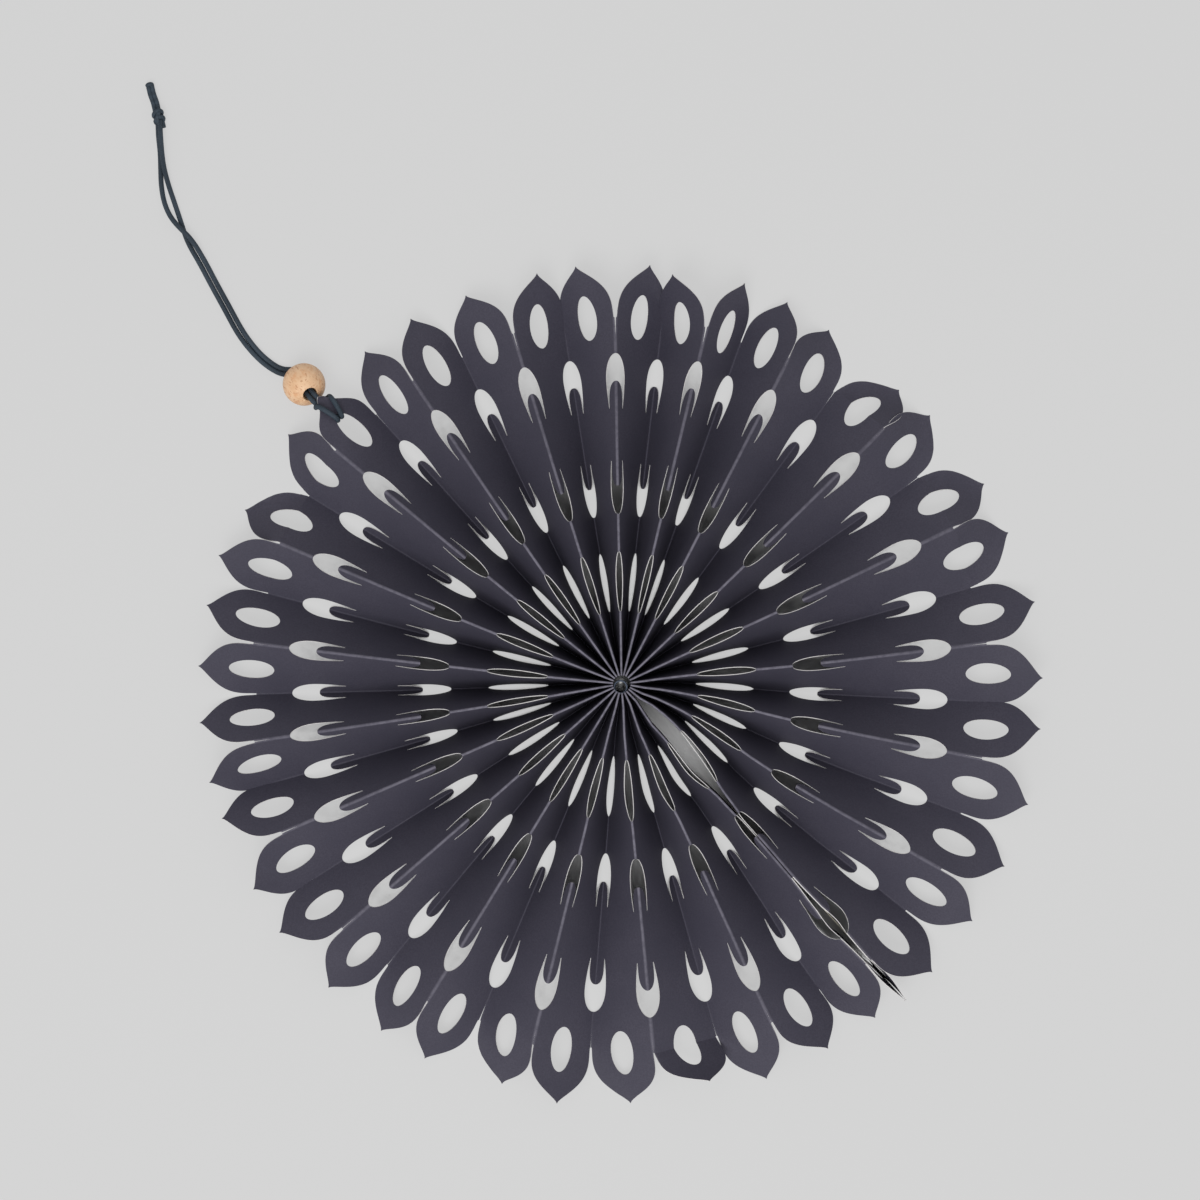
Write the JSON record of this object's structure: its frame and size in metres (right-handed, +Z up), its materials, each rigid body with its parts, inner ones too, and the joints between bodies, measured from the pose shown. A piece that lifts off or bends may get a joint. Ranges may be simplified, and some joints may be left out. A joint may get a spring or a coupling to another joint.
{
  "type": "paper fan rosette",
  "caption": "Pleated paper rosette with cut-out folds and pointed petals, with a wooden bead and a doubled hanging cord, lying flat",
  "frame": {"origin": "middle of the hub, on the surface that the rosette lies on", "axes": "+Z up, away from the surface and along the rosette's middle; +X and +Y in the surface, with the bead and cord towards -X and +Y and the seam towards +X and -Y"},
  "size_m": [0.2124, 0.2433, 0.0161],
  "materials": {
    "card": "matt dark slate card with a pale core",
    "tape": "double-sided tape",
    "thread": "dark thread",
    "wood": "plain turned wood, slight sheen",
    "cord": "dark blue waxed cord"
  },
  "bodies": {
    "root": {"pleated_paper": "card", "seam_tape": "tape", "hub_thread": "thread", "wooden_bead": "wood", "cord_knot": "cord", "cord_lower_strand": "cord", "cord_upper_strand": "cord"}
  },
  "joints": []
}
